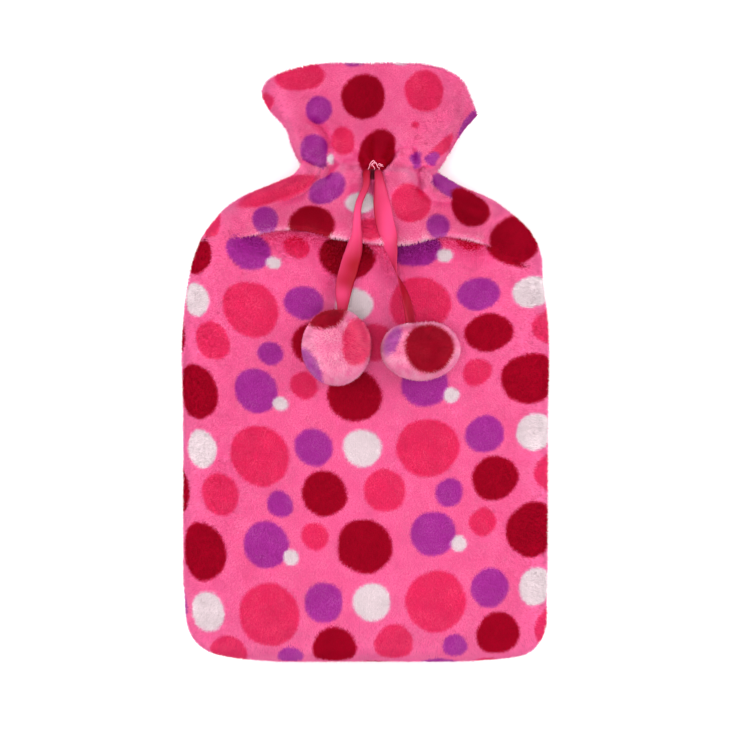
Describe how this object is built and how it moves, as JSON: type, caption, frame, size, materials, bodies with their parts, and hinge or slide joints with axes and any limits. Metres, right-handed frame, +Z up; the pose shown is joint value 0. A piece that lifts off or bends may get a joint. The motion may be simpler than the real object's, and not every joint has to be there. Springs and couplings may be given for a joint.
{
  "type": "hot water bottle cover",
  "caption": "Hollow plush cover for a hot water bottle: lapped front opening, neck gathered by a ribbon, flared ruffle and ribbon tails that end in stuffed balls.",
  "frame": {"origin": "centre of the bounding box's base, on the surface that the cover lies on", "axes": "+X to the right seen from the front, +Y from the bottom seam towards the ruffle, +Z up out of the front"},
  "size_m": [0.2171, 0.3553, 0.083],
  "materials": {
    "plush_front": "short dense plush, printed with dots",
    "plush_flap": "short dense plush, printed with dots",
    "plush_back": "short dense plush, printed with dots",
    "satin_ribbon": "satin weave with a soft shine",
    "plush_ball": "short dense plush, printed with dots"
  },
  "bodies": {
    "root": {"back_panel": "plush_back", "front_lower_panel": "plush_front", "front_upper_panel": "plush_flap", "ribbon_left": "satin_ribbon", "ribbon_right": "satin_ribbon", "pompom_left": "plush_ball", "pompom_right": "plush_ball"}
  },
  "joints": []
}
